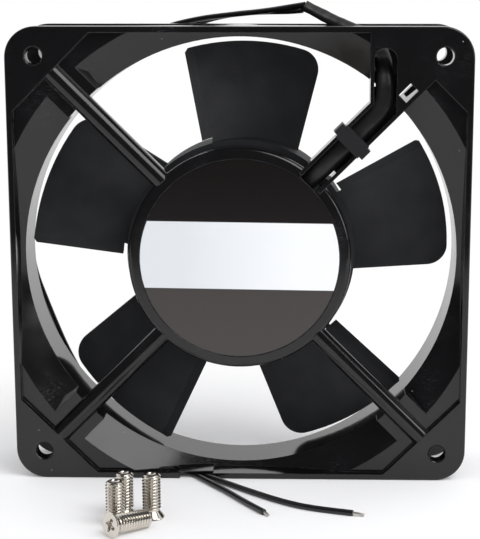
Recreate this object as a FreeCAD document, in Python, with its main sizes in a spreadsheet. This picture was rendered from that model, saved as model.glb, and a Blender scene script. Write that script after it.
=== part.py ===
"""Axial case fan, 120 mm square: die-cast housing, shaded-pole motor on two ball bearings,
five-blade impeller.

Frame: +X right, +Y from the outlet (label) side to the inlet side, +Z up.
The origin is the centre of the outlet face. All sizes are in millimetres.
"""
import FreeCAD, Part
import math
import os
import Sketcher

doc = FreeCAD.newDocument("case_fan")
sheet = doc.addObject("Spreadsheet::Sheet", "sizes")
ROOT_TWO = math.sqrt(2)


# ---------------------------------------------------------------- driving sizes

class Size:
    """A number that remembers the sheet formula it comes from."""

    def __init__(self, value, formula):
        self.value = float(value)
        self.formula = formula

    def __float__(self):
        return self.value

    def __add__(self, other):
        return Size(self.value + float(other), f"({self.formula} + {formula_of(other)})")

    def __sub__(self, other):
        return Size(self.value - float(other), f"({self.formula} - {formula_of(other)})")

    def __mul__(self, other):
        return Size(self.value * float(other), f"({self.formula} * {formula_of(other)})")

    def __truediv__(self, other):
        return Size(self.value / float(other), f"({self.formula} / {formula_of(other)})")

    def __radd__(self, other):
        return Size(float(other) + self.value, f"({formula_of(other)} + {self.formula})")

    def __neg__(self):
        return Size(-self.value, f"(-1 * {self.formula})")

    __rmul__ = __mul__


def formula_of(number):
    """The sheet formula of a Size, or the plain number."""
    return number.formula if isinstance(number, Size) else f"{float(number):.9g}"


def drive(alias, value, note):
    """One driving size: a cell of the sheet with its alias and a note beside it."""
    drive.row += 1
    sheet.set(f"A{drive.row}", note)
    sheet.set(f"B{drive.row}", str(value))
    sheet.setAlias(f"B{drive.row}", alias)
    return Size(value, f"sizes.{alias}")


drive.row = 0

# housing
frame_size = drive("frame_size", 120, "width and height of the flanges")
frame_depth = drive("frame_depth", 25.5, "outlet face to inlet face")
corner_radius = drive("corner_radius", 8, "outer corners of the flanges")
flange_depth = drive("flange_depth", 4.2, "thickness of each flange")
edge_round = drive("edge_round", 0.5, "rounding of the outer edges of the outlet face")
hole_pitch = drive("hole_pitch", 105, "fixing holes, centre to centre")
hole_radius = drive("hole_radius", 2.25, "fixing holes")
hole_chamfer = drive("hole_chamfer", 0.25, "chamfer at the mouth of a fixing hole")
rim_wall = drive("rim_wall", 1.6, "wall left at the middle of each side of the outlet")
plate_reach = drive("plate_reach", 68.4, "centre to the slanted edge of a corner plate")
step_depth = drive("step_depth", 2, "step from a corner plate down to the floor of the mouth")
mouth_radius = drive("mouth_radius", 65, "wide end of the flared mouth")
mouth_end = drive("mouth_end", 7.45, "depth where the flare meets the throat")
throat_radius = drive("throat_radius", 57.2, "inside of the duct")
duct_wall = drive("duct_wall", 2.8, "wall of the duct")
inlet_radius = drive("inlet_radius", 59.3, "edge of the inlet")
inlet_wall = drive("inlet_wall", 1.4, "wall left at the middle of each side of the inlet")
inlet_flare = drive("inlet_flare", 4.2, "depth of the flare at the inlet")
strut_radius = drive("strut_radius", 2.55, "rounded crest of a strut")
strut_depth = drive("strut_depth", 4.25, "outlet face to the back of a strut")
pad_width = drive("pad_width", 10.6, "foot of a strut on the flare")

# motor base
base_radius = drive("base_radius", 29.2, "motor base")
base_inset = drive("base_inset", 0.25, "outlet face to the front of the motor base")
base_plate = drive("base_plate", 2.2, "front plate of the motor base")
base_back = drive("base_back", 7, "back edge of the motor base wall")
base_wall = drive("base_wall", 1.6, "side wall of the motor base")
base_round = drive("base_round", 1.2, "rounding of the front rim")
label_radius = drive("label_radius", 26.2, "seat of the label")
label_recess = drive("label_recess", 0.3, "depth of the label seat")
label_thickness = drive("label_thickness", 0.22, "label with its adhesive")
label_gap = drive("label_gap", 0.15, "round the label in its seat")

# lead channel
channel_width = drive("channel_width", 7.65, "outside of the channel")
channel_wall = drive("channel_wall", 0.95, "side walls of the channel")
channel_shift = drive("channel_shift", 1.275, "channel centre line, up from the diagonal")
channel_floor = drive("channel_floor", 5.2, "depth of the channel")
channel_back = drive("channel_back", 6.2, "back of the channel floor")
channel_start = drive("channel_start", 26.5, "centre to the inner end of the channel")
channel_end = drive("channel_end", 56.3, "centre to the outer end of the channel's right wall")
floor_start = drive("floor_start", 33.4, "centre to the inner end of the channel floor")
trough_left = drive("trough_left", 33.55, "left side of the upright part of the channel")
trough_top = drive("trough_top", 54.5, "top of the slot the sleeve leaves through")
slot_length = drive("slot_length", 10, "slot through the corner plate")
slot_step = drive("slot_step", 3.7, "start of the deep part of the slot, above its lower end")
window_start = drive("window_start", 59.05, "centre to the near side of the square window")
window_length = drive("window_length", 4.25, "square window, along the diagonal")
window_width = drive("window_width", 2.75, "square window, across the diagonal")

# leads and sleeve
sleeve_radius = drive("sleeve_radius", 2, "heat-shrink sleeve")
lead_radius = drive("lead_radius", 0.75, "one PVC lead")
strand_radius = drive("strand_radius", 0.35, "tinned strands at a bare end")
relief_height = drive("relief_height", 1.8, "notch under the housing for the leads")
relief_width = drive("relief_width", 8.6, "notch under each flange for the leads")
relief_front = drive("relief_front", 11.9, "centre of the notch under the outlet flange, towards -X")
relief_back = drive("relief_back", 26.4, "centre of the notch under the inlet flange, towards -X")
relief_land = drive("relief_land", 0.35, "metal kept over the notch")

# clip
clip_start = drive("clip_start", 40.25, "centre to the near end of the clip")
clip_length = drive("clip_length", 4.3, "clip, along the channel")
clip_proud = drive("clip_proud", 0.8, "clip bridge, out from the outlet face")
clip_wing = drive("clip_wing", 1.2, "wings of the clip outside the channel walls")
clip_hook = drive("clip_hook", 4.5, "how far the wings reach back")
clip_play = drive("clip_play", 0.05, "between the clip and the channel walls")

# impeller
tip_clearance = drive("tip_clearance", 1.45, "between the blade tips and the duct")
hub_radius = drive("hub_radius", 30.3, "outside of the impeller hub")
hub_wall = drive("hub_wall", 1.5, "wall of the impeller hub")
hub_front = drive("hub_front", 9, "front edge of the impeller hub")
hub_back_gap = drive("hub_back_gap", 0.8, "inlet face to the back of the impeller hub")
blade_count = drive("blade_count", 5, "blades")
blade_thickness = drive("blade_thickness", 1.8, "blade, at mid chord")
blade_front = drive("blade_front", 9.6, "depth of the trailing edge at the root")
blade_front_tip = drive("blade_front_tip", 10.7, "depth of the trailing edge at the tip")
blade_back = drive("blade_back", 20.6, "depth of the leading edge")
blade_slit = drive("blade_slit", 1.2, "slit between the blade root and the hub")
blade_corner = drive("blade_corner", 5.5, "rounded corner at the leading end of the tip")
blade_chamfer = drive("blade_chamfer", 0.9, "cut corner at the trailing end of the tip")
blade_strip = drive("blade_strip", 2.4, "width of the hooked strip along the trailing edge")
blade_hook = drive("blade_hook", 1.5, "depth of the hooked strip")
blade_camber = drive("blade_camber", 0.55, "sag of the blade behind its chord")

# motor inside
shaft_radius = drive("shaft_radius", 1.5, "shaft")
bearing_radius = drive("bearing_radius", 4, "outside of each ball bearing")
bearing_width = drive("bearing_width", 4, "width of each ball bearing")
ball_radius = drive("ball_radius", 0.75, "bearing ball")
ball_count = drive("ball_count", 7, "balls in a bearing")
ball_play = drive("ball_play", 0.04, "ball in its groove and pocket")
pitch_shift = drive("pitch_shift", 0.05, "ball circle, out from midway between shaft and housing bore")
race_gap = drive("race_gap", 0.58, "ball circle to the shoulder of either ring")
cage_half = drive("cage_half", 0.28, "half the radial thickness of the cage")
cage_reach = drive("cage_reach", 0.95, "half the width of the cage")
tube_radius = drive("tube_radius", 6, "outside of the bearing tube")
tube_front = drive("tube_front", 0.9, "front end of the bearing tube")
bearing_front = drive("bearing_front", 2.4, "front face of the front bearing")
rotor_sheet = drive("rotor_sheet", 0.8, "steel of the rotor cup")
rotor_ring = drive("rotor_ring", 5.4, "radial depth of the rotor laminations")
air_gap = drive("air_gap", 0.4, "between stator and rotor")
stator_front = drive("stator_front", 9.6, "front of the stator laminations")
stator_height = drive("stator_height", 9, "stack of stator laminations")
coil_thickness = drive("coil_thickness", 2.4, "build of a winding")
board_thickness = drive("board_thickness", 1, "terminal board")

# screws
screw_length = drive("screw_length", 11.3, "fixing screw with its head")
screw_radius = drive("screw_radius", 2.35, "thread crest")
screw_head_radius = drive("screw_head_radius", 3.2, "countersunk head")
screw_head_height = drive("screw_head_height", 2, "head with its thin rim")
doc.recompute()

OUTLET = Size(0, "0")
BEFORE_OUTLET = -1
half = frame_size / 2
rim_inside = half - rim_wall
inlet_inside = half - inlet_wall
hub_back = frame_depth - hub_back_gap
tip_radius = throat_radius - tip_clearance
floor_level = -float(half)


# ---------------------------------------------------------------- small helpers

def bind(thing, prop, size):
    """Tie a property to the sheet, or set it where the value is a plain number."""
    thing.setExpression(prop, formula_of(size))


def face_turn(degrees):
    """Turns a sketch into the plane of the outlet face, its x axis at this angle from +X."""
    upright = FreeCAD.Rotation(FreeCAD.Vector(1, 0, 0), 90)
    return FreeCAD.Rotation(FreeCAD.Vector(0, 1, 0), -degrees) * upright


def pin_point(sketch, edge, spot, across, up):
    """Holds the start or end of an edge at its distances from the sketch origin."""
    for kind, axis, size in (("DistanceX", -2, across), ("DistanceY", -1, up)):
        if abs(float(size)) < 1e-9:
            sketch.addConstraint(Sketcher.Constraint("PointOnObject", edge, spot, axis))
            continue
        index = sketch.addConstraint(Sketcher.Constraint(kind, -1, 1, edge, spot, float(size)))
        if isinstance(size, Size):
            sketch.setExpression(f"Constraints[{index}]", size.formula)


def outline(sketch, points):
    """A closed outline of straight lines whose corners are tied to the sheet."""
    corners = [FreeCAD.Vector(float(across), float(up), 0) for across, up in points]
    count = len(corners)
    for index in range(count):
        sketch.addGeometry(Part.LineSegment(corners[index], corners[(index + 1) % count]))
    for index in range(count):
        after = (index + 1) % count
        sketch.addConstraint(Sketcher.Constraint("Coincident", index, 2, after, 1))
    for index, (across, up) in enumerate(points):
        pin_point(sketch, index, 1, across, up)


def prism(name, points, front, back, turn=0):
    """An outline in the plane of the outlet face, extruded from front to back."""
    sketch = doc.addObject("Sketcher::SketchObject", name + "_outline")
    sketch.Placement = FreeCAD.Placement(FreeCAD.Vector(0, float(front), 0), face_turn(turn))
    bind(sketch, "Placement.Base.y", front)
    outline(sketch, points)
    solid = doc.addObject("Part::Extrusion", name)
    solid.Base = sketch
    solid.DirMode = "Custom"
    solid.Dir = FreeCAD.Vector(0, 1, 0)
    solid.Solid = True
    bind(solid, "LengthFwd", back - front)
    return solid


def slab(name, left, right, low, high, front, back, turn=0):
    """A rectangular block, square to the diagonal that it is turned to."""
    points = [(left, low), (right, low), (right, high), (left, high)]
    return prism(name, points, front, back, turn)


def place_round(solid, front, x, z):
    """Lays a round primitive along +Y with its first end at this depth."""
    turn = FreeCAD.Rotation(FreeCAD.Vector(1, 0, 0), -90)
    solid.Placement = FreeCAD.Placement(FreeCAD.Vector(0, 0, 0), turn)
    bind(solid, "Placement.Base.x", x)
    bind(solid, "Placement.Base.y", front)
    bind(solid, "Placement.Base.z", z)
    return solid


def cylinder(name, radius, front, back, x=0, z=0):
    """A cylinder along Y."""
    solid = doc.addObject("Part::Cylinder", name)
    bind(solid, "Radius", radius)
    bind(solid, "Height", back - front)
    return place_round(solid, front, x, z)


def cone(name, front_radius, back_radius, front, back, x=0, z=0):
    """A cut cone along Y."""
    solid = doc.addObject("Part::Cone", name)
    bind(solid, "Radius1", front_radius)
    bind(solid, "Radius2", back_radius)
    bind(solid, "Height", back - front)
    return place_round(solid, front, x, z)


def spoke_rod(name, radius, start, length, depth, degrees):
    """A round rod that points outwards from the centre, at this depth."""
    solid = doc.addObject("Part::Cylinder", name)
    bind(solid, "Radius", radius)
    bind(solid, "Height", length)
    turn = FreeCAD.Rotation(FreeCAD.Vector(0, 1, 0), 90 - degrees)
    solid.Placement = FreeCAD.Placement(FreeCAD.Vector(0, 0, 0), turn)
    bind(solid, "Placement.Base.x", start * math.cos(math.radians(degrees)))
    bind(solid, "Placement.Base.y", depth)
    bind(solid, "Placement.Base.z", start * math.sin(math.radians(degrees)))
    return solid


def fuse(name, *pieces):
    """Pieces of one casting or moulding, joined."""
    solid = doc.addObject("Part::MultiFuse", name)
    solid.Shapes = list(pieces)
    return solid


def common(name, *pieces):
    """What the pieces share."""
    solid = doc.addObject("Part::MultiCommon", name)
    solid.Shapes = list(pieces)
    return solid


def cut(name, piece, *tools):
    """A piece with the tools taken out of it."""
    tool = tools[0] if len(tools) == 1 else fuse(name + "_tools", *tools)
    solid = doc.addObject("Part::Cut", name)
    solid.Base = piece
    solid.Tool = tool
    return solid


def turned(name, profile, label=None):
    """A body turned about Y from (radius, depth) corners."""
    body = doc.addObject("PartDesign::Body", name)
    body.Label = label or name
    sketch = body.newObject("Sketcher::SketchObject", name + "_profile")
    planes = [item for item in body.Origin.OriginFeatures if item.Role == "XY_Plane"]
    sketch.AttachmentSupport = [(planes[0], "")]
    sketch.MapMode = "FlatFace"
    outline(sketch, profile)
    turn = body.newObject("PartDesign::Revolution", name + "_turn")
    turn.Profile = sketch
    turn.ReferenceAxis = (sketch, ["V_Axis"])
    turn.Angle = 360
    return body


def ring(name, inner, outer, front, back):
    """A turned ring of rectangular section."""
    return turned(name, [(inner, front), (outer, front), (outer, back), (inner, back)])


def held(name, shape):
    """A shape made with Part's own functions, kept as an object of the document."""
    thing = doc.addObject("Part::Feature", name)
    thing.Shape = shape
    return thing


nodes = {}


def node(name, solid):
    """Names a finished sub-part: its label is also the name of its file."""
    solid.Label = name
    nodes[name] = solid
    return solid


# ---------------------------------------------------------------- housing

def square_box(name, reach, front, back):
    """A square block centred on the axis that reaches this far from it."""
    return slab(name, -reach, reach, -reach, reach, front, back)


def flange(name, front, back, rounded_front):
    """A square flange with round corners; the outlet flange also has its front edge rounded."""
    plate = square_box(name + "_plate", half, front, back)
    doc.recompute()
    upright = [(index + 1, float(corner_radius), float(corner_radius))
               for index, edge in enumerate(plate.Shape.Edges)
               if abs(edge.Length - float(back - front)) < 1e-6]
    corners = doc.addObject("Part::Fillet", name + "_corners")
    corners.Base = plate
    corners.Edges = upright
    if not rounded_front:
        return corners
    doc.recompute()
    outer = [(index + 1, float(edge_round), float(edge_round))
             for index, edge in enumerate(corners.Shape.Edges)
             if edge.BoundBox.YMax < float(front) + 1e-6]
    eased = doc.addObject("Part::Fillet", name + "_eased")
    eased.Base = corners
    eased.Edges = outer
    return eased


def duct_blank():
    """The two flanges, the duct between them and the backs of both flares, all still solid."""
    front = flange("outlet_flange", OUTLET, flange_depth, True)
    back = flange("inlet_flange", frame_depth - flange_depth, frame_depth, False)
    tube = cylinder("duct_outside", throat_radius + duct_wall, flange_depth / 2,
                    frame_depth - flange_depth / 2)
    flare = cone("flare_outside", mouth_radius + duct_wall, throat_radius + duct_wall,
                 step_depth, mouth_end + duct_wall)
    bounds = square_box("side_bounds", half, OUTLET, frame_depth)
    return fuse("duct_blank", front, back,
                common("duct_within_sides", fuse("duct_round", tube, flare), bounds))


def mouth_space():
    """The air space of the duct: stepped mouth, flare, throat and inlet flare."""
    across = plate_reach * ROOT_TWO - rim_inside
    step = [(-across, rim_inside), (-rim_inside, across), (-rim_inside, -across), (-across, -rim_inside),
            (across, -rim_inside), (rim_inside, -across), (rim_inside, across), (across, rim_inside)]
    mouth = prism("mouth_step", step, BEFORE_OUTLET, step_depth)
    flare = cone("mouth_flare", mouth_radius, throat_radius, step_depth, mouth_end)
    flare_bounds = square_box("mouth_bounds", rim_inside, OUTLET, frame_depth)
    throat = cylinder("throat", throat_radius, step_depth, frame_depth + 1)
    inlet = cone("inlet_cone", throat_radius, inlet_radius, frame_depth - inlet_flare, frame_depth)
    inlet_bounds = square_box("inlet_bounds", inlet_inside, OUTLET, frame_depth + 1)
    return fuse("mouth_space", mouth, throat, common("mouth_flare_cut", flare, flare_bounds),
                common("inlet_flare_cut", inlet, inlet_bounds))


def strut(name, degrees):
    """One arm from the motor base to its corner plate, with its foot pad."""
    start = base_radius - base_wall / 2
    crest = spoke_rod(name + "_crest", strut_radius, start, plate_reach + 0.5 - start, strut_radius, degrees)
    side = strut_radius - 0.06
    body = slab(name + "_body", start, plate_reach + 0.5, -side, side, strut_radius, strut_depth, degrees)
    pad = slab(name + "_pad", throat_radius - 1, mouth_radius + 1, -pad_width / 2, pad_width / 2,
               step_depth, mouth_end + 1, degrees)
    pad_hole = cylinder(name + "_pad_hole", throat_radius, OUTLET, frame_depth)
    foot = cut(name + "_foot", pad, pad_hole)
    return [crest, body, foot]


def motor_base():
    """The turned part of the motor base: front plate with the label seat, and the side wall."""
    seat = base_inset + label_recess
    plate_back = base_inset + base_plate
    profile = [(tube_radius, seat), (label_radius, seat), (label_radius, base_inset),
               (base_radius, base_inset),
               (base_radius, base_back), (base_radius - base_wall, base_back),
               (base_radius - base_wall, plate_back), (tube_radius, plate_back)]
    body = turned("motor_base", profile)
    doc.recompute()
    turn = body.Tip
    rim = [f"Edge{index + 1}" for index, edge in enumerate(turn.Shape.Edges)
           if edge.BoundBox.YMax < float(base_inset) + 1e-6
           and edge.BoundBox.XMax > float(base_radius) - 1e-6]
    rounded = body.newObject("PartDesign::Fillet", "motor_base_rim")
    rounded.Base = (turn, rim)
    bind(rounded, "Radius", base_round)
    return body


channel_low = channel_shift - channel_width / 2
channel_high = channel_shift + channel_width / 2
inside_low = channel_low + channel_wall
inside_high = channel_high - channel_wall
trough_inside = trough_left + channel_wall
trough_width = channel_width - channel_wall * 2
trough_right = trough_inside + trough_width


def on_face(along, across):
    """A point of the lead channel, given along and across its diagonal, as X and Z."""
    return ((along - across) / ROOT_TWO, (along + across) / ROOT_TWO)


def channel_solids():
    """The fourth arm, which carries the leads, and the corner plate that it runs into."""
    arm = slab("channel_arm", channel_start + 0.5, channel_end, channel_low, channel_high,
               OUTLET, channel_back, 45)
    overlap = plate_reach + 0.6
    top = rim_inside + 0.5
    corner = [(trough_left, top), (trough_left, trough_left + channel_high * ROOT_TWO),
              on_face(channel_end, channel_low), on_face(overlap, channel_low),
              (overlap * ROOT_TWO - top, top)]
    return [arm, prism("channel_plate", corner, OUTLET, channel_back)]


def channel_space():
    """What is taken out for the leads: channel, upright trough, slot, entry to the base, and the window."""
    above = BEFORE_OUTLET
    arc_radius = trough_width / 2
    arc_x = trough_inside + arc_radius
    arc_z = trough_top - arc_radius
    slot_low = trough_top - slot_length
    path = [on_face(channel_start, inside_high), (trough_inside, trough_inside + inside_high * ROOT_TWO),
            (trough_inside, arc_z), (trough_right, arc_z),
            (trough_right, trough_right + inside_low * ROOT_TWO), on_face(channel_start, inside_low)]
    path.reverse()
    trough = prism("channel_trough", path, above, channel_floor)
    trough_arc = cylinder("trough_arc", arc_radius, above, channel_floor, arc_x, arc_z)
    slot = slab("sleeve_slot", trough_inside, trough_right, slot_low, arc_z, above, mouth_end)
    deep = slab("sleeve_slot_deep", trough_inside, trough_right, slot_low + slot_step, arc_z,
                above, mouth_end + duct_wall + 1)
    slot_arc = cylinder("slot_arc", arc_radius, above, mouth_end + duct_wall + 1, arc_x, arc_z)
    entry = slab("base_entry", channel_start, floor_start, inside_low, inside_high, above, base_back + 1, 45)
    window = slab("window", window_start, window_start + window_length, -window_width / 2, window_width / 2,
                  above, frame_depth + 1, 45)
    return [trough, trough_arc, slot, deep, slot_arc, entry, window]


def fixing_holes():
    """Four through holes in both flanges, chamfered at the outlet and inlet faces."""
    tools = []
    for index, (side, level) in enumerate(((-1, -1), (1, -1), (1, 1), (-1, 1))):
        x = hole_pitch / 2 * side
        z = hole_pitch / 2 * level
        wide = hole_radius + hole_chamfer
        tools.append(cylinder(f"fixing_hole_{index}", hole_radius, BEFORE_OUTLET, frame_depth + 1, x, z))
        tools.append(cone(f"outlet_chamfer_{index}", wide, hole_radius, OUTLET, hole_chamfer, x, z))
        tools.append(cone(f"inlet_chamfer_{index}", hole_radius, wide, frame_depth - hole_chamfer,
                          frame_depth, x, z))
    return tools


def lead_relief():
    """Notches under the flanges that let the leads pass, and the metal added over the first."""
    low = -half - 1
    high = -half + relief_height
    reach = relief_width / 2
    front_left = -relief_front - reach
    front_right = -relief_front + reach
    back_left = -relief_back - reach
    back_right = -relief_back + reach
    inlet_flange_front = frame_depth - flange_depth
    notches = [
        slab("relief_outlet", front_left, front_right, low, high, BEFORE_OUTLET, flange_depth),
        slab("relief_duct", back_left, front_right, low, high, flange_depth - 0.2, inlet_flange_front + 0.2),
        slab("relief_inlet", back_left, back_right, low, high, inlet_flange_front, frame_depth + 1)]
    land = slab("relief_land", front_left - relief_land, front_right + relief_land,
                -half + 0.2, high + relief_land, OUTLET + 0.3, mouth_end)
    return notches, land


def housing():
    """The die casting: flanges, duct, struts, lead channel and motor base in one piece."""
    notches, land = lead_relief()
    shell = cut("duct_shell", duct_blank(), mouth_space())
    arms = []
    for name, degrees in (("strut_top_left", 135), ("strut_low_left", 225), ("strut_low_right", 315)):
        arms += strut(name, degrees)
    joined = fuse("housing_metal", shell, motor_base(), land, *arms, *channel_solids())
    seat_bore = cylinder("tube_seat", tube_radius, OUTLET, base_back)
    inside = cylinder("base_inside", base_radius - base_wall, base_inset + base_plate, base_back + 1)
    return cut("housing", joined, *channel_space(), *fixing_holes(), *notches, seat_bore, inside)


node("housing", housing())
label_back = base_inset + label_recess
label_front = label_back - label_thickness
label_edge = label_radius - label_gap
node("rating_label", turned("rating_label", [
    (0, label_front), (label_edge, label_front), (label_edge, label_back), (0, label_back)]))


# ---------------------------------------------------------------- leads, sleeve and clip

def lead_clip():
    """The clip: a bridge over the channel, a pad that presses the sleeve and a wing down each side."""
    end = clip_start + clip_length
    low = channel_low - clip_play
    high = channel_high + clip_play
    pad_back = channel_floor - sleeve_radius * 2 - 0.35
    bridge = slab("clip_bridge", clip_start, end, low - 0.1, high + 0.1, -clip_proud, -clip_play, 45)
    pad = slab("clip_pad", clip_start + 0.4, end - 0.4, inside_low + 0.2, inside_high - 0.2,
               -clip_proud / 2, pad_back, 45)
    right = slab("clip_right", clip_start + 0.6, end - 0.6, low - clip_wing, low, -clip_proud, clip_hook, 45)
    left = slab("clip_left", clip_start + 0.6, end - 0.6, high, high + clip_wing, -clip_proud, clip_hook, 45)
    return fuse("lead_clip", bridge, pad, right, left)


def tube_path(points):
    """Straight runs joined by tangent arcs, each as large as its two runs allow, and the arc radii."""
    spots = [FreeCAD.Vector(*point) for point in points]
    edges = []
    radii = []
    here = spots[0]
    for before, corner, after in zip(spots, spots[1:], spots[2:]):
        inward = (before - corner).normalize()
        outward = (after - corner).normalize()
        half_turn = (math.pi - inward.getAngle(outward)) / 2
        reach = 0.45 * min((before - corner).Length, (after - corner).Length)
        radii.append(reach / math.tan(half_turn))
        start = corner + inward * reach
        end = corner + outward * reach
        bisector = (inward + outward).normalize()
        middle = corner + bisector * (radii[-1] / math.cos(half_turn) - radii[-1])
        edges.append(Part.LineSegment(here, start).toShape())
        edges.append(Part.Arc(start, middle, end).toShape())
        here = end
    edges.append(Part.LineSegment(here, spots[-1]).toShape())
    return edges, radii


def tube(name, points, radius):
    """A closed round tube along its route; prints its length and its tightest arc."""
    edges, radii = tube_path(points)
    path = Part.Wire(edges)
    start = FreeCAD.Vector(*points[0])
    heading = FreeCAD.Vector(*points[1]) - start
    mouth = Part.Wire([Part.makeCircle(float(radius), start, heading)])
    sweep = path.makePipeShell([mouth], True, True)
    length = sum(edge.Length for edge in edges)
    volume = length * math.pi * float(radius) ** 2
    print(f"{name}: {length:.1f} mm long, volume {sweep.Volume / volume:.4f} of section x length")
    print("   arc radii:", " ".join(f"{radius_here:.1f}" for radius_here in radii))
    if abs(sweep.Volume / volume - 1) > 0.01:
        raise RuntimeError(name + ": the swept tube has lost part of its volume")
    return held(name, sweep)


def in_channel(along, depth):
    """A point of the sleeve's centre line while it lies in the channel."""
    x, z = on_face(along, 1.45)
    return (float(x), depth, float(z))


BASE_ENTRY = [in_channel(19.5, 5.7), in_channel(25.5, 5.2)]
SLEEVE_ROUTE = BASE_ENTRY + [
    in_channel(32.8, 3.0), in_channel(44.5, 2.9), (37.4, 2.95, 39.5), (37.4, 3.1, 46.4),
    (37.2, 8.7, 52.9), (33.4, 13.3, 57.2), (25.5, 14.8, 60.3), (16.7, 15.8, 64.9)]
LIVE_ROUTE = [
    (16.84, 15.8, 65.16), (13.4, 17.0, 65.0), (6.5, 20.6, 64.2), (-2.5, 25.4, 63.3), (-12.0, 29.2, 61.8),
    (-22.0, 31.0, 58.8), (-33.5, 31.6, 53.2), (-46.0, 31.4, 43.5), (-56.5, 31.6, 28.5), (-61.2, 31.4, 11.0),
    (-60.2, 31.2, -6.5), (-55.0, 31.0, -21.0), (-49.4, 31.2, -35.0), (-41.5, 31.4, -48.0),
    (-33.2, 29.8, -57.0),
    (-28.0, 27.2, -59.24), (-20.5, 16.6, -59.24), (-14.6, 7.6, -59.24), (-9.0, 0.2, -59.24),
    (-3.2, -5.6, -59.24), (4.3, -13.0, -59.24), (12.3, -20.2, -59.24), (20.0, -24.8, -59.24),
    (29.4, -27.5, -59.24)]
NEUTRAL_ROUTE = [
    (16.13, 15.8, 63.7), (12.8, 17.6, 63.0), (6.0, 22.3, 62.7), (-2.5, 27.8, 61.9), (-10.8, 31.6, 60.2),
    (-20.5, 33.8, 56.6), (-32.5, 34.9, 51.4), (-44.8, 34.6, 41.9), (-55.6, 34.8, 27.4), (-61.0, 34.6, 10.4),
    (-60.8, 34.4, -7.0), (-55.6, 34.2, -21.8), (-50.0, 34.4, -36.0), (-42.6, 34.4, -49.2),
    (-36.4, 33.6, -57.6),
    (-32.8, 30.2, -59.24), (-25.8, 19.6, -59.24), (-18.6, 9.9, -59.24), (-12.2, 1.4, -59.24),
    (-7.2, -5.9, -59.24), (-2.6, -12.3, -59.24), (2.2, -20.2, -59.24), (7.1, -27.3, -59.24)]
LIVE_STRAND = [(29.4, -27.5, -59.24), (30.8, -27.9, -59.3), (32.2, -28.0, -59.6)]
NEUTRAL_STRAND = [(7.1, -27.3, -59.24), (7.6, -28.1, -59.3), (8.3, -28.9, -59.6)]

node("lead_clip", lead_clip())
node("lead_sleeve", tube("lead_sleeve", SLEEVE_ROUTE, sleeve_radius))
node("lead_live", tube("lead_live", LIVE_ROUTE, lead_radius))
node("lead_neutral", tube("lead_neutral", NEUTRAL_ROUTE, lead_radius))
node("live_bare_end", tube("live_bare_end", LIVE_STRAND, strand_radius))
node("neutral_bare_end", tube("neutral_bare_end", NEUTRAL_STRAND, strand_radius))


# ---------------------------------------------------------------- impeller

TRAILING_ROOT = (-9.55, 27.0)
TRAILING_TIP = (-14.7, 53.8)
LEADING_ROOT = (15.3, 27.0)
LEADING_TIP = (22.2, 54.0)
INNER_LEVEL = 20.0
OUTER_MARGIN = 4.25
outer_level = float(tip_radius) + OUTER_MARGIN


def at_height(near, far, level):
    """The x of a straight edge in plan, at this distance out from the axis."""
    share = (level - near[1]) / (far[1] - near[1])
    return near[0] + (far[0] - near[0]) * share


def blade_section(level):
    """One cross-section of a blade, in the plane this far out: a hooked trailing strip and a gentle curve."""
    share = (level - TRAILING_ROOT[1]) / (TRAILING_TIP[1] - TRAILING_ROOT[1])
    trailing = at_height(TRAILING_ROOT, TRAILING_TIP, level)
    leading = at_height(LEADING_ROOT, LEADING_TIP, level)
    front = float(blade_front) + float(blade_front_tip - blade_front) * share
    back = float(blade_back)
    thick = float(blade_thickness)
    knee = (trailing + float(blade_strip), front + float(blade_hook))
    middle = ((knee[0] + leading) / 2, (knee[1] + back) / 2 + float(blade_camber))
    front_side = [(trailing, front), knee, middle, (leading, back)]
    back_side = [(trailing + 0.4, front + thick * 0.9), (knee[0] + 0.1, knee[1] + thick),
                 (middle[0], middle[1] + thick), (leading, back + thick * 0.8)]
    front_spots = [FreeCAD.Vector(x, y, level) for x, y in front_side]
    back_spots = [FreeCAD.Vector(x, y, level) for x, y in back_side]
    return Part.Wire([
        Part.makeLine(front_spots[0], front_spots[1]),
        Part.Arc(front_spots[1], front_spots[2], front_spots[3]).toShape(),
        Part.makeLine(front_spots[3], back_spots[3]),
        Part.Arc(back_spots[3], back_spots[2], back_spots[1]).toShape(),
        Part.makeLine(back_spots[1], back_spots[0]),
        Part.makeLine(back_spots[0], front_spots[0])])


def tip_corners(plan, left, right):
    """The straight edges along the axis at the tip of a blade, between these two x."""
    low = float(tip_radius) * 0.8
    return [edge for edge in plan.Edges if abs(edge.Length - float(frame_depth)) < 1e-3
            and edge.BoundBox.ZMin > low and left < edge.BoundBox.XMax < right]


def blade_plan():
    """The outline of a blade seen along the axis, as a solid through the whole depth of the fan."""
    tip = float(tip_radius)
    levels = (INNER_LEVEL, outer_level)
    outline_spots = [(at_height(TRAILING_ROOT, TRAILING_TIP, level), level) for level in levels]
    outline_spots += [(at_height(LEADING_ROOT, LEADING_TIP, level), level) for level in reversed(levels)]
    spots = [FreeCAD.Vector(x, 0, z) for x, z in outline_spots]
    face = Part.Face(Part.makePolygon(spots + spots[:1]))
    wedge = face.extrude(FreeCAD.Vector(0, float(frame_depth), 0))
    axis = FreeCAD.Vector(0, 1, 0)
    round_end = Part.makeCylinder(tip, float(frame_depth), FreeCAD.Vector(0, 0, 0), axis)
    plan = wedge.common(round_end)
    plan = plan.makeFillet(float(blade_corner), tip_corners(plan, 0, tip))
    return plan.makeChamfer(float(blade_chamfer), tip_corners(plan, -tip, -tip * 0.2))


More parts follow.
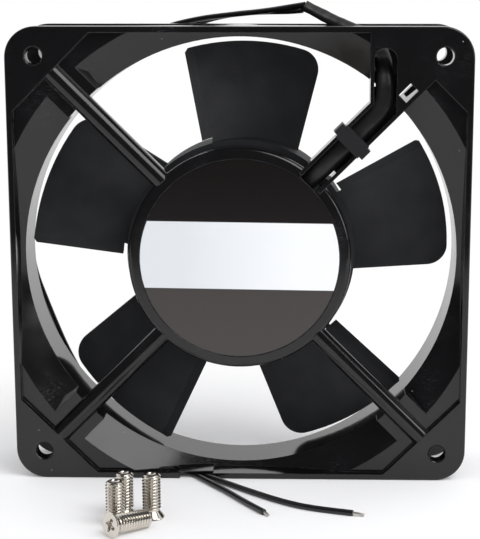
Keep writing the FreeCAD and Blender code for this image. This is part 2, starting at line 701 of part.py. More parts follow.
def blade():
    """One blade at the top of the hub, with the slit that frees its trailing end from the hub."""
    axis = FreeCAD.Vector(0, 1, 0)
    origin = FreeCAD.Vector(0, 0, 0)
    depth = float(frame_depth)
    curved = Part.makeLoft([blade_section(INNER_LEVEL), blade_section(outer_level)], True, True)
    body = curved.common(blade_plan())
    body = body.cut(Part.makeCylinder(float(hub_radius - hub_wall / 2), depth, origin, axis))
    slit_outer = Part.makeCylinder(float(hub_radius + blade_slit), depth, origin, axis)
    slit_end = at_height(TRAILING_ROOT, TRAILING_TIP, 30.0) + 2.6
    slit_side = Part.makeBox(20.0, depth, 40.0, FreeCAD.Vector(slit_end - 20.0, 0, 10.0))
    return body.cut(slit_outer.common(slit_side))


def impeller():
    """Hub ring with its back wall, and the blades, one moulding."""
    hub = turned("impeller_hub", [
        (shaft_radius * 2, hub_back - hub_wall), (hub_radius - hub_wall, hub_back - hub_wall),
        (hub_radius - hub_wall, hub_front), (hub_radius, hub_front), (hub_radius, hub_back),
        (shaft_radius * 2, hub_back)])
    shape = blade()
    blades = []
    for index in range(int(blade_count.value)):
        wing = held(f"blade_{index}", shape)
        wing.Placement = FreeCAD.Placement(
            FreeCAD.Vector(0, 0, 0),
            FreeCAD.Rotation(FreeCAD.Vector(0, 1, 0), 360 * index / blade_count.value))
        blades.append(wing)
    return fuse("impeller", hub, *blades)


node("impeller", impeller())


# ---------------------------------------------------------------- motor

rear_front = hub_back - hub_wall - rotor_sheet - 2.9 - bearing_width
rear_back = rear_front + bearing_width
cup_back = hub_back - hub_wall
cup_inside = cup_back - rotor_sheet
cup_radius = hub_radius - hub_wall
core_radius = cup_radius - rotor_sheet
rotor_bore = core_radius - rotor_ring
stator_radius = rotor_bore - air_gap
stator_back = stator_front + stator_height
front_back = bearing_front + bearing_width
spring_front = rear_front - 1.1
ball_pitch = (shaft_radius + bearing_radius) / 2 + pitch_shift
inner_ring_radius = ball_pitch - race_gap
outer_ring_bore = ball_pitch + race_gap


def bearing(side, front):
    """One shielded ball bearing: rings with a groove, balls in a cage, and two shields."""
    back = front + bearing_width
    middle = front + bearing_width / 2
    inner_blank = ring(side + "_inner_blank", shaft_radius, inner_ring_radius, front, back)
    outer_blank = ring(side + "_outer_blank", outer_ring_bore, bearing_radius, front, back)
    groove = doc.addObject("Part::Torus", side + "_groove")
    bind(groove, "Radius1", ball_pitch)
    bind(groove, "Radius2", ball_radius + ball_play)
    place_round(groove, middle, 0, 0)
    node(side + "_bearing_inner_ring", cut(side + "_inner_cut", inner_blank, groove))
    node(side + "_bearing_outer_ring", cut(side + "_outer_cut", outer_blank, groove))
    balls = []
    pockets = []
    for index in range(int(ball_count.value)):
        angle = 2 * math.pi * index / ball_count.value
        sphere = doc.addObject("Part::Sphere", f"{side}_ball_{index}")
        bind(sphere, "Radius", ball_radius)
        bind(sphere, "Placement.Base.x", ball_pitch * math.cos(angle))
        bind(sphere, "Placement.Base.y", middle)
        bind(sphere, "Placement.Base.z", ball_pitch * math.sin(angle))
        balls.append(sphere)
        pockets.append(spoke_rod(f"{side}_pocket_{index}", ball_radius + ball_play, ball_pitch - 1, 2,
                                 middle, math.degrees(angle)))
    group = doc.addObject("Part::Compound", side + "_balls")
    group.Links = balls
    node(side + "_bearing_balls", group)
    cage_blank = ring(side + "_cage_blank", ball_pitch - cage_half, ball_pitch + cage_half,
                      middle - cage_reach, middle + cage_reach)
    node(side + "_bearing_cage", cut(side + "_cage_cut", cage_blank, *pockets))
    shield_front = ring(side + "_shield_a", inner_ring_radius + 0.12, outer_ring_bore, front + 0.1,
                        front + 0.3)
    shield_back = ring(side + "_shield_b", inner_ring_radius + 0.12, outer_ring_bore, back - 0.3, back - 0.1)
    shields = doc.addObject("Part::Compound", side + "_shields")
    shields.Links = [shield_front, shield_back]
    node(side + "_bearing_shields", shields)


bearing("front", bearing_front)
bearing("rear", rear_front)
node("bearing_tube", turned("bearing_tube", [
    (bearing_radius, tube_front), (tube_radius, tube_front), (tube_radius, rear_back),
    (bearing_radius, rear_back), (bearing_radius, spring_front), (bearing_radius - 0.7, spring_front),
    (bearing_radius - 0.7, front_back), (bearing_radius, front_back)]))
node("preload_spring", ring("preload_spring", bearing_radius - 0.6, bearing_radius - 0.05,
                            spring_front, rear_front))
clip_front = bearing_front - 0.75
clip_back = bearing_front - 0.3
groove_radius = shaft_radius - 0.35
node("shaft", turned("shaft", [
    (0, clip_front - 0.5), (shaft_radius, clip_front - 0.5), (shaft_radius, clip_front),
    (groove_radius, clip_front), (groove_radius, clip_back), (shaft_radius, clip_back),
    (shaft_radius, cup_back), (0, cup_back)]))
node("retaining_clip", ring("retaining_clip", groove_radius, shaft_radius + 1, clip_front, clip_back))
node("shaft_washer", ring("shaft_washer", shaft_radius, inner_ring_radius, clip_back, bearing_front))
boss_front = rear_back + 1
node("rotor_boss", turned("rotor_boss", [
    (shaft_radius, rear_back), (inner_ring_radius, rear_back), (inner_ring_radius, boss_front),
    (tube_radius, boss_front), (tube_radius, cup_inside), (shaft_radius * 2, cup_inside),
    (shaft_radius * 2, cup_back), (shaft_radius, cup_back)]))
node("rotor_cup", turned("rotor_cup", [
    (shaft_radius * 2, cup_inside), (core_radius, cup_inside), (core_radius, hub_front + 0.5),
    (cup_radius, hub_front + 0.5), (cup_radius, cup_back), (shaft_radius * 2, cup_back)]))
node("rotor_core", ring("rotor_core", rotor_bore, core_radius, stator_front + 0.4, stator_back + 0.4))
end_rings = doc.addObject("Part::Compound", "rotor_end_rings")
end_rings.Links = [
    ring("end_ring_front", rotor_bore + 0.8, core_radius - 0.4, hub_front + 0.3, stator_front + 0.4),
    ring("end_ring_back", rotor_bore + 0.8, core_radius - 0.4, stator_back + 0.4, stator_back + 1.8)]
node("rotor_end_rings", end_rings)

tooth_half = stator_radius * 0.2
yoke_radius = tube_radius + 3.5
shoe_inside = stator_radius - 2.6
coil_start = yoke_radius + coil_thickness * 0.6
coil_end = shoe_inside - 0.4
insulator = 0.6


def stator_core():
    """The laminations: four teeth with wide shoes, the winding slots between them cut away."""
    blank = ring("stator_blank", tube_radius, stator_radius, stator_front, stator_back)
    slots = []
    for index in range(4):
        turn = 45 + 90 * index
        mouth = slab(f"slot_mouth_{index}", yoke_radius, stator_radius + 1, -0.9, 0.9,
                     stator_front - 0.5, stator_back + 0.5, turn)
        slots.append(mouth)
    spaces = []
    for index in range(4):
        turn = 90 * index
        above = slab(f"slot_above_{index}", yoke_radius, shoe_inside, tooth_half,
                     tooth_half + coil_thickness + 0.6,
                     stator_front - 0.5, stator_back + 0.5, turn)
        below = slab(f"slot_below_{index}", yoke_radius, shoe_inside, -tooth_half - coil_thickness - 0.6,
                     -tooth_half, stator_front - 0.5, stator_back + 0.5, turn)
        spaces += [above, below]
    rings = shading_rings("shading_seat")
    return cut("stator_core", blank, *slots, *spaces, *rings)


def coil(index):
    """One winding round its tooth."""
    turn = 90 * index
    outer = slab(f"coil_outer_{index}", coil_start, coil_end, -tooth_half - coil_thickness,
                 tooth_half + coil_thickness, stator_front - coil_thickness,
                 stator_back + coil_thickness, turn)
    inner = slab(f"coil_inner_{index}", coil_start - 1, coil_end + 1, -tooth_half, tooth_half,
                 stator_front - insulator, stator_back + insulator, turn)
    return cut(f"coil_{index}", outer, inner)


def shading_rings(name):
    """A copper ring through one side of each shoe."""
    rings = []
    for index in range(4):
        turn = 90 * index
        outer = slab(f"{name}_outer_{index}", shoe_inside + 0.3, stator_radius - 1.5, tooth_half * 0.5,
                     tooth_half * 1.5, stator_front - 0.5, stator_back + 0.5, turn)
        inner = slab(f"{name}_inner_{index}", shoe_inside - 1, stator_radius + 1, tooth_half * 0.5 + 0.6,
                     tooth_half * 1.5 - 0.6, stator_front, stator_back, turn)
        rings.append(cut(f"{name}_{index}", outer, inner))
    return rings


def group(name, solids):
    """Like pieces that share a node."""
    compound = doc.addObject("Part::Compound", name)
    compound.Links = solids
    return node(name, compound)


node("stator_core", stator_core())
group("stator_windings", [coil(index) for index in range(4)])
group("shading_rings", shading_rings("shading_ring"))
board_front = base_inset + base_plate + 1.6
board_back = board_front + board_thickness
board_radius = channel_start - 10
node("front_insulator", turned("front_insulator", [
    (tube_radius, board_back), (tube_radius + 1, board_back), (tube_radius + 1, stator_front - insulator),
    (coil_start, stator_front - insulator), (coil_start, stator_front), (tube_radius, stator_front)]))
node("rear_insulator", ring("rear_insulator", tube_radius, coil_start, stator_back, stator_back + insulator))
node("terminal_board", ring("terminal_board", tube_radius, board_radius, board_front, board_back))


# ---------------------------------------------------------------- fixing screws

def screw():
    """A countersunk screw that stands on its head at the origin, with its cross recess underneath."""
    up = FreeCAD.Vector(0, 0, 1)
    head = float(screw_head_radius)
    shank = float(screw_radius)
    rim = 0.35
    taper = float(screw_head_height) - rim
    length = float(screw_length)
    flat = Part.makeCylinder(head, rim, FreeCAD.Vector(0, 0, 0), up)
    sunk = Part.makeCone(head, shank * 0.87, taper, FreeCAD.Vector(0, 0, rim), up)
    stem = Part.makeCylinder(shank, length - rim - taper - 0.5, FreeCAD.Vector(0, 0, rim + taper), up)
    end = Part.makeCone(shank, shank - 0.5, 0.5, FreeCAD.Vector(0, 0, length - 0.5), up)
    recess = Part.makeBox(3.4, 0.8, 1.2, FreeCAD.Vector(-1.7, -0.4, 0))
    across = Part.makeBox(0.8, 3.4, 1.2, FreeCAD.Vector(-0.4, -1.7, 0))
    return flat.fuse([sunk, stem, end]).cut(recess.fuse(across)).removeSplitter()


def fixing_screws():
    """Three screws that stand on their heads in front of the fan, and one that lies beside them."""
    shape = screw()
    solids = []
    for index, (x, y) in enumerate(((-20.8, -29.7), (-27.7, -28.8), (-29.2, -35.3))):
        standing = held(f"screw_{index}", shape)
        standing.Placement = FreeCAD.Placement(FreeCAD.Vector(x, y, floor_level), FreeCAD.Rotation())
        solids.append(standing)
    drop = math.asin(float(screw_head_radius - screw_radius) / (float(screw_length) - 0.5))
    lean = FreeCAD.Rotation(FreeCAD.Vector(0, 1, 0), 90 + math.degrees(drop))
    heading = FreeCAD.Rotation(FreeCAD.Vector(0, 0, 1), 43)
    level = floor_level + float(screw_head_radius) * math.cos(drop)
    lying = held("screw_3", shape)
    lying.Placement = FreeCAD.Placement(FreeCAD.Vector(-29.4, -44.2, level), heading * lean)
    return solids + [lying]


group("fixing_screws", fixing_screws())


# ---------------------------------------------------------------- checks and files

def check(thing, what):
    """Stops the build if an object failed or its shape is empty or broken."""
    if "Invalid" in thing.State or "Error" in thing.State:
        raise RuntimeError(f"{what}: {thing.State}")
    if thing.Shape.isNull() or not thing.Shape.isValid():
        raise RuntimeError(f"{what}: empty or broken shape")


doc.recompute()
for item in doc.Objects:
    if "Invalid" in item.State or "Error" in item.State:
        raise RuntimeError(f"{item.Name}: {item.State}")
os.makedirs("parts", exist_ok=True)
for name, solid in nodes.items():
    check(solid, name)
for name, solid in nodes.items():
    solid.Shape.exportStep(f"parts/{name}.step")
    print(f"{name}: {len(solid.Shape.Solids)} solids, {solid.Shape.Volume:.1f} mm3")
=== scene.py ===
# %% [markdown]
# # A 120 mm axial fan with a cast frame
# A shaded-pole motor hangs on three struts and a lead channel in a die-cast frame, and two leads run out of
# it in a sleeve.
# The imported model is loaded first, as a fixed frame: every piece below takes its place from it, in metres.

# %% Load the fixed frame
import math

import bmesh
import bpy
from mathutils import Matrix, Vector


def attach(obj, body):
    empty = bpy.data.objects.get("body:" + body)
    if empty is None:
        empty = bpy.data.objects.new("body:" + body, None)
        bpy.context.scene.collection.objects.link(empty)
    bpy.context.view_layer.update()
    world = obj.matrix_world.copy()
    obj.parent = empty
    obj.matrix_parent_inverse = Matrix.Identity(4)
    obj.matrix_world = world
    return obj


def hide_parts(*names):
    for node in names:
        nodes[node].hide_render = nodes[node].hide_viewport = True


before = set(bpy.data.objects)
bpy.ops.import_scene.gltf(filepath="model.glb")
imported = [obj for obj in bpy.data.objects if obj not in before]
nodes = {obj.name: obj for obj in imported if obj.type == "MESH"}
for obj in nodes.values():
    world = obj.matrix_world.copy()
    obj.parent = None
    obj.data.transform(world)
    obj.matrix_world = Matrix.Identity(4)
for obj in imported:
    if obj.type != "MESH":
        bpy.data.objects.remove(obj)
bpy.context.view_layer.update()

MM = 0.001
FLOOR_Z = -0.060


def to_metres(points):
    """Points in millimetres as vectors in metres."""
    return [Vector(point) * MM for point in points]


# %% [markdown]
# ## Helpers for materials
# A colour is written as the hex value that a paint chart or a screen would show.
# Blender shades in linear light, so one function turns the hex value to linear.
# One small function adds a node with its settings and its links, which keeps each material short.

# %% Colour and node helpers


def linear(hex_colour, alpha=1.0):
    """An sRGB hex colour as the linear values that shaders use."""
    channels = [int(hex_colour[i:i + 2], 16) / 255 for i in (1, 3, 5)]
    values = [c / 12.92 if c <= 0.04045 else ((c + 0.055) / 1.055) ** 2.4 for c in channels]
    return (*values, alpha)


def add(tree, kind, settings=None, **links):
    """Adds a node. settings are its own properties; links give input names a value or an output socket."""
    made = tree.nodes.new(kind)
    for name, value in (settings or {}).items():
        setattr(made, name, value)
    for name, value in links.items():
        socket = made.inputs[int(name[1:])] if name[1:].isdigit() else made.inputs[name.replace("_", " ")]
        if isinstance(value, bpy.types.NodeSocket):
            tree.links.new(value, socket)
        else:
            socket.default_value = value
    return made


def new_material(name):
    """An empty node material and its output node."""
    material = bpy.data.materials.new(name)
    material.use_nodes = True
    material.node_tree.nodes.clear()
    output = material.node_tree.nodes.new("ShaderNodeOutputMaterial")
    return material, material.node_tree, output


def grain(tree, size_mm, detail=2.0, roughness=0.5):
    """Noise on Object coordinates whose grains are about size_mm across."""
    place = add(tree, "ShaderNodeTexCoord").outputs["Object"]
    return add(tree, "ShaderNodeTexNoise", Vector=place, Scale=1000.0 / size_mm, Detail=detail,
               Roughness=roughness).outputs["Fac"]


def ramp(tree, value, low, high, low_to, high_to):
    """value from low..high mapped to low_to..high_to, and held there."""
    return add(tree, "ShaderNodeMapRange", Value=value, i1=low, i2=high, i3=low_to, i4=high_to).outputs[0]


def finish_material(tree, output, shader):
    """Joins the shader to the output."""
    tree.links.new(shader.outputs[0], output.inputs["Surface"])


# %% [markdown]
# ## The camera
# It stands 0.39 m in front of the outlet side, a little above the middle, and looks slightly down.

# %% Camera
camera_data = bpy.data.cameras.new("camera")
camera_data.sensor_width = 36
camera_data.lens = 100.82
camera_data.shift_x = -0.0449
camera_data.shift_y = 0.0154
camera_data.clip_start = 0.01
camera_data.clip_end = 20
camera = bpy.data.objects.new("camera", camera_data)
camera.location = (0.0163007, -0.3867679, 0.0721059)
camera.rotation_euler = (math.radians(78.7505), 0, math.radians(1.4531))
bpy.context.scene.collection.objects.link(camera)
bpy.context.scene.camera = camera
print("camera at", tuple(camera.location))

# %% [markdown]
# ## The two leads
# Each lead is a thin PVC wire that leaves the sleeve at the top of the frame. It runs behind the frame, down
# its left side, under it and out on the floor in front, where a short tinned end is bare.
# A lead bends smoothly, so its line is a NURBS curve with a few listed points.

# %% Lead curves
LEAD_RADIUS = 0.75 * MM
STRAND_RADIUS = 0.35 * MM
LIVE_POINTS = to_metres([
    (16.84, 15.8, 65.16), (13.4, 17.0, 64.6), (6.5, 20.6, 63.4), (-2.5, 25.4, 62.4),
    (-12.0, 29.2, 61.2),
    (-22.0, 31.0, 58.8), (-33.5, 31.6, 53.2), (-46.0, 31.4, 43.5), (-56.5, 31.6, 28.5), (-61.2, 31.4, 11.0),
    (-60.2, 31.2, -6.5), (-55.0, 31.0, -21.0), (-49.4, 31.2, -35.0), (-41.5, 31.4, -48.0),
    (-33.2, 29.8, -57.0),
    (-28.0, 27.2, -59.24), (-20.5, 16.6, -59.24), (-14.6, 7.6, -59.24), (-9.0, 0.2, -59.24),
    (-3.2, -5.6, -59.24), (4.3, -13.0, -59.24), (12.3, -20.2, -59.24), (20.0, -24.8, -59.24),
    (29.4, -27.5, -59.24)])
NEUTRAL_POINTS = to_metres([
    (16.13, 15.8, 63.7), (12.8, 18.4, 63.3), (6.0, 22.5, 63.2), (-2.5, 27.8, 62.5), (-10.8, 31.6, 60.6),
    (-20.5, 33.8, 56.6), (-32.5, 34.9, 51.4), (-44.8, 34.6, 41.9), (-55.6, 34.8, 27.4), (-61.0, 34.6, 10.4),
    (-60.8, 34.4, -7.0), (-55.6, 34.2, -21.8), (-50.0, 34.4, -36.0), (-42.6, 34.4, -49.2),
    (-36.4, 33.6, -57.6),
    (-32.8, 30.2, -59.24), (-25.8, 19.6, -59.24), (-18.6, 9.9, -59.24), (-12.2, 1.4, -59.24),
    (-7.2, -5.9, -59.24), (-2.6, -12.3, -59.24), (2.2, -20.2, -59.24), (7.1, -27.3, -59.24)])


def nurbs_line(name, points, radius):
    """A smooth curve with these control points. The radius is set on each point, so its box is right."""
    data = bpy.data.curves.new(name, "CURVE")
    data.dimensions = "3D"
    data.resolution_u = 12
    data.bevel_depth = 1.0 if radius else 0.0
    data.bevel_resolution = 4
    data.use_fill_caps = True
    spline = data.splines.new("NURBS")
    spline.points.add(len(points) - 1)
    for spot, point in zip(spline.points, points):
        spot.co = (*point, 1)
        spot.radius = radius or LEAD_RADIUS
    spline.order_u = 3
    spline.use_endpoint_u = True
    made = bpy.data.objects.new(name, data)
    bpy.context.scene.collection.objects.link(made)
    return made


def line_length(points):
    """The real length of a curve's own line, measured on the evaluated curve with no bevel."""
    probe = nurbs_line("probe", points, 0)
    mesh = bpy.data.meshes.new_from_object(probe.evaluated_get(bpy.context.evaluated_depsgraph_get()))
    spots = [vertex.co.copy() for vertex in mesh.vertices]
    bpy.data.objects.remove(probe)
    bpy.data.meshes.remove(mesh)
    return sum((b - a).length for a, b in zip(spots, spots[1:])), spots


live_length, _ = line_length(LIVE_POINTS)
neutral_length, _ = line_length(NEUTRAL_POINTS)
live_lead = nurbs_line("lead_live_wire", LIVE_POINTS, LEAD_RADIUS)
neutral_lead = nurbs_line("lead_neutral_wire", NEUTRAL_POINTS, LEAD_RADIUS)
print("leads", round(live_length, 4), round(neutral_length, 4), "m")

for lead, node_name, end_name, points, length in (
        (live_lead, "lead_live", "live_bare_end", LIVE_POINTS, live_length),
        (neutral_lead, "lead_neutral", "neutral_bare_end", NEUTRAL_POINTS, neutral_length)):
    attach(lead, "frame")
    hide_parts(node_name)

# %% [markdown]
# ## Floor, backdrop and light
# The fan stands on a white paper sheet that curves up behind it. It ends 0.3 m in front of the fan, and
# beyond it the room is dark, which is what keeps gloss black paint black: the lower parts mirror the pale
# sheet and the upper parts mirror the dark room. One soft box stands above, in front and to the right, and it
# draws the thin lines along the struts. A weaker one stands low on the right, for the flares on the left.

# %% Paper sheet
SHEET_FRONT = -0.30


def sweep_sheet():
    """A floor that bends up into a wall, as one mesh."""
    half_width, bend_start, radius, height, steps = 1.6, 0.55, 0.35, 1.5, 16
    line = [(SHEET_FRONT, FLOOR_Z), (bend_start, FLOOR_Z)]
    for step in range(1, steps + 1):
        turn = math.radians(90 * step / steps)
        line.append((bend_start + radius * math.sin(turn), FLOOR_Z + radius * (1 - math.cos(turn))))
    line.append((bend_start + radius, height))
    vertices = [(x, y, z) for y, z in line for x in (-half_width, half_width)]
    faces = [(2 * i, 2 * i + 1, 2 * i + 3, 2 * i + 2) for i in range(len(line) - 1)]
    mesh = bpy.data.meshes.new("paper_sheet")
    mesh.from_pydata(vertices, [], faces)
    for face in mesh.polygons:
        face.use_smooth = True
    made = bpy.data.objects.new("paper_sheet", mesh)
    bpy.context.scene.collection.objects.link(made)
    return made


paper_sheet = sweep_sheet()

# White paper: matte, with no gloss. Far from the fan it glows plain white to the eye and in reflections,
# and near the fan it is lit like anything else, so it keeps the soft shadow.
paper, tree, output = new_material("white_paper_sheet")
matte = add(tree, "ShaderNodeBsdfDiffuse", Color=linear("#f8f8f9"))
glow = add(tree, "ShaderNodeEmission", Color=(1, 1, 1, 1), Strength=1.0)
place = add(tree, "ShaderNodeTexCoord").outputs["Object"]
away = add(tree, "ShaderNodeVectorMath", {"operation": "LENGTH"}, i0=place).outputs["Value"]
far = ramp(tree, away, 0.07, 0.16, 0, 1)
path = add(tree, "ShaderNodeLightPath")
seen = add(tree, "ShaderNodeMath", {"operation": "MAXIMUM"}, i0=path.outputs["Is Camera Ray"],
           i1=path.outputs["Is Glossy Ray"]).outputs[0]
seen = add(tree, "ShaderNodeMath", {"operation": "MAXIMUM"}, i0=seen,
           i1=path.outputs["Is Transmission Ray"]).outputs[0]
share = add(tree, "ShaderNodeMath", {"operation": "MULTIPLY"}, i0=seen, i1=far).outputs[0]
both = add(tree, "ShaderNodeMixShader", i0=share, i1=matte.outputs[0], i2=glow.outputs[0])
finish_material(tree, output, both)
paper_sheet.data.materials.append(paper)
print("sheet from y", SHEET_FRONT, "at z", FLOOR_Z)

# %% World and lamps
world = bpy.data.worlds.new("studio")
bpy.context.scene.world = world
world.use_nodes = True
tree = world.node_tree
tree.nodes.clear()
direction = add(tree, "ShaderNodeTexCoord").outputs["Generated"]
parts = add(tree, "ShaderNodeSeparateXYZ", Vector=direction)
# What gloss mirrors: white behind the fan, a dim room in front of it. The rest gets a plain soft light.
behind = ramp(tree, parts.outputs["Y"], -0.12, 0.12, 0, 1)
mirrored = add(tree, "ShaderNodeMix", {"data_type": "RGBA"}, i0=behind, i6=(0.07, 0.07, 0.075, 1),
               i7=(1, 1, 1, 1)).outputs[2]
path = add(tree, "ShaderNodeLightPath")
lit = add(tree, "ShaderNodeMix", {"data_type": "RGBA"}, i0=path.outputs["Is Glossy Ray"],
          i6=(0.82, 0.82, 0.83, 1), i7=mirrored).outputs[2]
plain = add(tree, "ShaderNodeMath", {"operation": "MAXIMUM"}, i0=path.outputs["Is Camera Ray"],
            i1=path.outputs["Is Transmission Ray"]).outputs[0]
sky = add(tree, "ShaderNodeMix", {"data_type": "RGBA"}, i0=plain, i6=lit, i7=(1, 1, 1, 1)).outputs[2]
background = add(tree, "ShaderNodeBackground", Color=sky, Strength=1.0)
world_output = add(tree, "ShaderNodeOutputWorld", Surface=background.outputs[0])


def soft_box(name, location, target, width, height, watts):
    """A rectangular lamp that faces target."""
    data = bpy.data.lights.new(name, "AREA")
    data.shape = "RECTANGLE"
    data.size = width
    data.size_y = height
    data.energy = watts
    lamp = bpy.data.objects.new(name, data)
    lamp.location = location
    lamp.rotation_euler = (Vector(target) - Vector(location)).to_track_quat("-Z", "Y").to_euler()
    bpy.context.scene.collection.objects.link(lamp)
    return lamp


soft_box("soft_box_right", (0.40, -0.38, 0.58), (0, 0, 0), 0.52, 0.50, 3.4)
soft_box("soft_box_low_right", (0.75, -0.33, 0.20), (0, 0, 0), 0.30, 0.35, 1.2)
bpy.context.scene.view_settings.view_transform = "Standard"

# %% [markdown]
# ## Finishes
# Each finish is named for what the real one is, and starts from that material's usual gloss and colour.

# %% Painted casting and plastics


def coated(name, colour, roughness, specular=0.5, coat=0.0, coat_roughness=0.1, grain_mm=0.6, depth=0.0,
           colour_to=None, mottle_mm=6.0, metallic=0.0):
    """A paint or plastic: two close shades that drift over mottle_mm, with a fine grain in the gloss."""
    material, tree, output = new_material(name)
    fine = grain(tree, grain_mm, 3)
    broad = grain(tree, mottle_mm, 3)
    shade = add(tree, "ShaderNodeMix", {"data_type": "RGBA"}, i0=ramp(tree, broad, 0.35, 0.65, 0, 1),
                i6=linear(colour), i7=linear(colour_to or colour)).outputs[2]
    shader = add(tree, "ShaderNodeBsdfPrincipled", Base_Color=shade, Metallic=metallic,
                 Roughness=ramp(tree, fine, 0.3, 0.7, roughness * 0.9, roughness * 1.1))
    shader.inputs["Specular IOR Level"].default_value = specular
    shader.inputs["Coat Weight"].default_value = coat
    shader.inputs["Coat Roughness"].default_value = coat_roughness
    if depth:
        bump = add(tree, "ShaderNodeBump", Strength=0.6, Distance=depth * MM, Height=fine).outputs[0]
        tree.links.new(bump, shader.inputs["Normal"])
    finish_material(tree, output, shader)
    return material


# %% [markdown]
# ## Black enamel on the casting
# A die-cast frame gets one coat of gloss black. It is smooth on the flats, slightly orange-peeled, scuffed
# grey in the flares where the mould and handling rubbed it, and it holds a little dust. Its edges are painted
# a lighter grey: partly paint worn thin there, partly a painted highlight for the light lines along them.
# The edges of a casting are never sharp, so a Bevel node rounds them for the light without changing the mesh.

# %% Enamel with edges painted lighter (wear and painted highlight), scuffs and dust
EDGE_ROUND = 0.3 * MM
black_enamel, tree, output = new_material("gloss_black_enamel_on_casting")
place = add(tree, "ShaderNodeTexCoord").outputs["Object"]
peel = grain(tree, 1.6, 2)
cloud = grain(tree, 9.0, 4)
rounded = add(tree, "ShaderNodeBevel", {"samples": 4}, Radius=EDGE_ROUND).outputs[0]
flat = add(tree, "ShaderNodeNewGeometry").outputs["Normal"]
agree = add(tree, "ShaderNodeVectorMath", {"operation": "DOT_PRODUCT"}, i0=rounded, i1=flat).outputs["Value"]
# Edges painted lighter grey, broken by noise: partly paint worn thin, partly a painted highlight along the
# edges.
edge = ramp(tree, agree, 0.97, 0.80, 0, 1)
broken = ramp(tree, grain(tree, 2.2, 4, 0.7), 0.42, 0.62, 0, 1)
edge_wear_and_highlight = add(tree, "ShaderNodeMath", {"operation": "MULTIPLY"}, i0=edge, i1=broken).outputs[0]
# Scuffs: fine strokes about 0.15 mm wide, only where a cloud of about 14 mm is dense.
stroke_place = add(tree, "ShaderNodeMapping", Vector=place, Rotation=(0.3, 0.5, 0.6),
                   Scale=(900, 900, 6000)).outputs[0]
stroke = add(tree, "ShaderNodeTexNoise", Vector=stroke_place, Scale=1.0, Detail=4.0,
             Roughness=0.65).outputs["Fac"]
patch = ramp(tree, grain(tree, 14.0, 2), 0.52, 0.68, 0, 1)
scuff = add(tree, "ShaderNodeMath", {"operation": "MULTIPLY"}, i0=ramp(tree, stroke, 0.5, 0.72, 0, 1),
            i1=patch).outputs[0]
# Dust: specks about 0.3 mm across, one in a cell of 4 mm, in three cells of ten.
cells = add(tree, "ShaderNodeTexVoronoi", {"feature": "F1"}, Vector=place, Scale=260.0)
chosen = add(tree, "ShaderNodeSeparateColor", Color=cells.outputs["Color"]).outputs[0]
speck = add(tree, "ShaderNodeMath", {"operation": "MULTIPLY"},
            i0=ramp(tree, cells.outputs["Distance"], 0.045, 0.03, 0, 1),
            i1=ramp(tree, chosen, 0.70, 0.71, 0, 1)).outputs[0]
shade = add(tree, "ShaderNodeMix", {"data_type": "RGBA"}, i0=cloud, i6=linear("#0a090a"),
            i7=linear("#121112")).outputs[2]
shade = add(tree, "ShaderNodeMix", {"data_type": "RGBA"}, i0=scuff, i6=shade, i7=linear("#2c2d30")).outputs[2]
# Painted highlight and wear: the edges get a lighter grey in the base colour.
shade = add(tree, "ShaderNodeMix", {"data_type": "RGBA"}, i0=edge_wear_and_highlight, i6=shade, i7=linear("#4a4a4b")).outputs[2]
shade = add(tree, "ShaderNodeMix", {"data_type": "RGBA"}, i0=speck, i6=shade, i7=linear("#8a8a8c")).outputs[2]
rough = ramp(tree, cloud, 0.3, 0.7, 0.09, 0.15)
rough = add(tree, "ShaderNodeMix", {"data_type": "FLOAT"}, i0=scuff, i2=rough, i3=0.42).outputs[0]
rough = add(tree, "ShaderNodeMix", {"data_type": "FLOAT"}, i0=speck, i2=rough, i3=0.8).outputs[0]
bumped = add(tree, "ShaderNodeBump", Strength=0.25, Distance=0.012 * MM, Height=peel,
             Normal=rounded).outputs[0]
shader = add(tree, "ShaderNodeBsdfPrincipled", Base_Color=shade, Roughness=rough, Normal=bumped)
finish_material(tree, output, shader)

# %% Plastics
# Glass-filled nylon, moulded in a fine spark-eroded tool: an even, dull charcoal.
matt_nylon = coated("glass_filled_nylon_moulded_matt", "#1c1d20", 0.62, 0.35, grain_mm=0.25, depth=0.015,
                    colour_to="#232427")
clip_nylon = coated("black_nylon_moulded", "#1b1b1d", 0.42, 0.4, grain_mm=0.5, depth=0.01)
heat_shrink = coated("heat_shrink_sleeve_satin", "#161617", 0.38, 0.45, grain_mm=0.8, depth=0.02)
lead_pvc = coated("pvc_lead_insulation_gloss", "#121213", 0.25, 0.5, grain_mm=1.0, depth=0.005)
white_insulator = coated("moulded_insulator_white", "#dedbd0", 0.5, 0.4)
green_board = coated("glass_epoxy_board_green", "#2f6a3c", 0.4, 0.5)
enamelled_copper = coated("enamelled_copper_wire", "#a5532a", 0.3, 0.5, coat=0.6, grain_mm=0.3, depth=0.03)


def bare_metal(name, colour, roughness, grain_mm=0.4):
    """A bare metal whose gloss changes a little from place to place."""
    return coated(name, colour, roughness, 0.5, grain_mm=grain_mm, metallic=1.0)


tinned_copper = bare_metal("tinned_copper_strands", "#c9c3bd", 0.35)
nickel = bare_metal("bright_nickel_plate", "#d5cfc6", 0.16)
steel = bare_metal("ground_bearing_steel", "#c6c7c9", 0.18)
zinc = bare_metal("zinc_plated_sheet_steel", "#b9bcc0", 0.35)
laminations = bare_metal("electrical_steel_laminations", "#8b8c90", 0.45)
cast_aluminium = bare_metal("pressure_cast_aluminium", "#c4c5c8", 0.4)
copper = bare_metal("bare_copper", "#d68d6b", 0.3)
brass = bare_metal("turned_brass", "#d4b060", 0.25)
spring_steel = bare_metal("spring_steel", "#9a9897", 0.35)

# %% [markdown]
# ## The rating label
# The label is printed film under a clear laminate: black above, dark grey below, a pale band across it.
# The wording is left out, so the label stays bare.

